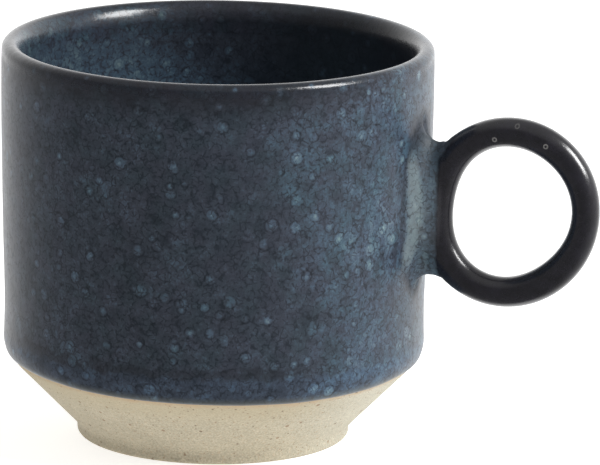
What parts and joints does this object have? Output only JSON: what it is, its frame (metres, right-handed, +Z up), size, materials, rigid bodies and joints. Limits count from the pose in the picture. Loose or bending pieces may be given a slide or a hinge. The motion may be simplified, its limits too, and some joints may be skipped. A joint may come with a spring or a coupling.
{
  "type": "ceramic mug",
  "caption": "Stoneware mug with a straight glazed wall, a bare clay cone and foot, and a round ring handle joined to one side.",
  "frame": {"origin": "centre of the foot, where the cup's axis meets the table", "axes": "+Z up along the cup's axis to the mouth, +X out through the ring handle, +Y across the handle"},
  "size_m": [0.1213, 0.085, 0.079],
  "materials": {
    "bare_stoneware": "matte",
    "joining_slip": "matte",
    "outer_reactive_glaze": "satin",
    "lining_glaze": "satin",
    "handle_dark_glaze": "satin"
  },
  "bodies": {
    "root": {"stoneware_body": "bare_stoneware", "ring_handle": "bare_stoneware", "slip_joint": "joining_slip", "outer_glaze": "outer_reactive_glaze", "inner_glaze": "lining_glaze", "handle_glaze": "handle_dark_glaze"}
  },
  "joints": []
}
